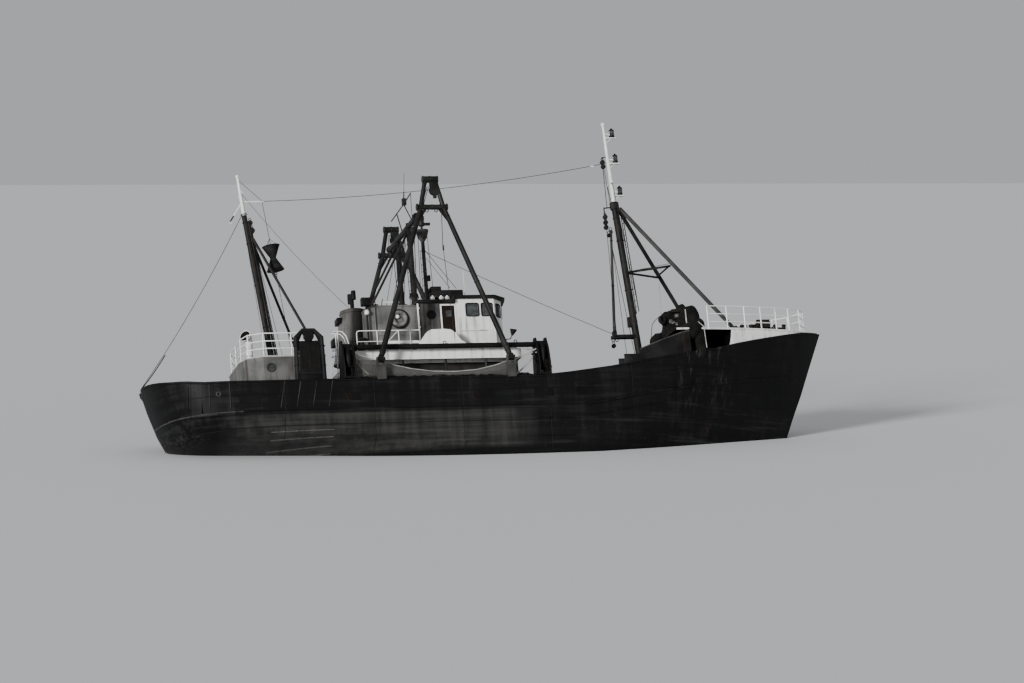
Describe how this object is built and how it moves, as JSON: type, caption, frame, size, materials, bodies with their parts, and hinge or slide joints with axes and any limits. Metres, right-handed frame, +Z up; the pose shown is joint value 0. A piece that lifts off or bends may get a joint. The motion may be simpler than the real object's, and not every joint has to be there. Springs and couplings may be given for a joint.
{
  "type": "side beam trawler",
  "caption": "Steel side beam trawler afloat, with a black round-sterned hull, whaleback bow, wheelhouse amidships, funnel, masts, gantry, raised A-frame derricks and stowed beam trawls.",
  "frame": {"origin": "amidships on the centreline, at the designed waterline", "axes": "+X to the bow, +Y to port, +Z up"},
  "size_m": [29.6362, 7.68, 16.6951],
  "materials": {
    "black_paint": "worn satin hull paint",
    "white_paint": "weathered satin paint",
    "grey_paint": "weathered satin paint",
    "dark_steel": "worn paint over rusting steel",
    "netting": "wet tarred twine",
    "varnished_wood": "old varnish",
    "tarred_wood": "tarred planks",
    "bronze": "dull cast"
  },
  "bodies": {
    "ship": {"hull": "black_paint", "bulwark_starboard": "black_paint", "bulwark_port": "black_paint", "screen_starboard": "black_paint", "screen_port": "black_paint", "dayshape": "black_paint", "gallows_starboard": "black_paint", "gallows_port": "black_paint", "whaleback": "white_paint", "lower_house": "white_paint", "boat_deck": "white_paint", "wheelhouse": "white_paint", "cowl_vent": "white_paint", "boat_rail_starboard": "white_paint", "boat_rail_port": "white_paint", "bow_rail_starboard": "white_paint", "bow_rail_port": "white_paint", "aft_rail": "white_paint", "wheelhouse_roof": "grey_paint", "casing": "grey_paint", "funnel": "grey_paint", "aft_house": "grey_paint", "gantry_post_starboard": "dark_steel", "gantry_post_port": "dark_steel", "gantry_bar": "dark_steel", "radar_mast": "dark_steel", "foremast_strut_starboard": "dark_steel", "foremast_strut_port": "dark_steel", "windlass": "dark_steel", "foremast": "dark_steel", "aft_mast": "dark_steel", "aft_mast_strut_starboard": "dark_steel", "aft_mast_strut_port": "dark_steel", "trawl_beam_starboard": "dark_steel", "trawl_beam_port": "dark_steel", "winch_frame": "dark_steel", "gear_heap": "netting", "net_starboard": "netting", "net_port": "netting", "helm_console": "varnished_wood", "trawl_door_starboard": "tarred_wood", "trawl_door_port": "tarred_wood"},
    "derrick_starboard": {"derrick_leg_aft_starboard": "dark_steel", "derrick_leg_fore_starboard": "dark_steel", "derrick_head_starboard": "dark_steel"},
    "derrick_port": {"derrick_leg_aft_port": "dark_steel", "derrick_leg_fore_port": "dark_steel", "derrick_head_port": "dark_steel"},
    "boom": {"landing_boom": "dark_steel"},
    "scanner": {"radar_scanner": "dark_steel"},
    "door": {"wheelhouse_door": "varnished_wood"},
    "winch": {"winch_drum": "dark_steel"},
    "hatch": {"hatch_cover": "grey_paint"},
    "rudder_blade": {"rudder": "black_paint"},
    "screw": {"propeller": "bronze"}
  },
  "joints": [
    {"name": "derrick_luff_starboard", "type": "hinge", "parent": "ship", "child": "derrick_starboard", "pos_m": [-2.4, -3.45, 2.75], "axis": [1, 0, 0], "range_deg": [0, 85]},
    {"name": "derrick_luff_port", "type": "hinge", "parent": "ship", "child": "derrick_port", "pos_m": [-2.4, 3.45, 2.75], "axis": [-1, 0, 0], "range_deg": [0, 85]},
    {"name": "boom_luff", "type": "hinge", "parent": "ship", "child": "boom", "pos_m": [5.94, 0, 4.53], "axis": [0, -1, 0], "range_deg": [0, 75]},
    {"name": "radar_turn", "type": "hinge", "parent": "ship", "child": "scanner", "pos_m": [-2.15, 0, 9.4], "axis": [0, 0, 1], "continuous": true},
    {"name": "door_swing", "type": "hinge", "parent": "ship", "child": "door", "pos_m": [-2.045, -1.9, 4.4], "axis": [0, 0, -1], "range_deg": [0, 100]},
    {"name": "winch_turn", "type": "hinge", "parent": "ship", "child": "winch", "pos_m": [2.3, 0, 1.42], "axis": [0, 1, 0], "continuous": true},
    {"name": "hatch_lift", "type": "hinge", "parent": "ship", "child": "hatch", "pos_m": [4.17, 0, 1.5], "axis": [0, -1, 0], "range_deg": [0, 95]},
    {"name": "rudder_turn", "type": "hinge", "parent": "ship", "child": "rudder_blade", "pos_m": [-12.6, 0, -1.5], "axis": [0, 0, 1], "range_deg": [-35, 35]},
    {"name": "propeller_turn", "type": "hinge", "parent": "ship", "child": "screw", "pos_m": [-11.6, 0, -1.72], "axis": [1, 0, 0], "continuous": true}
  ]
}
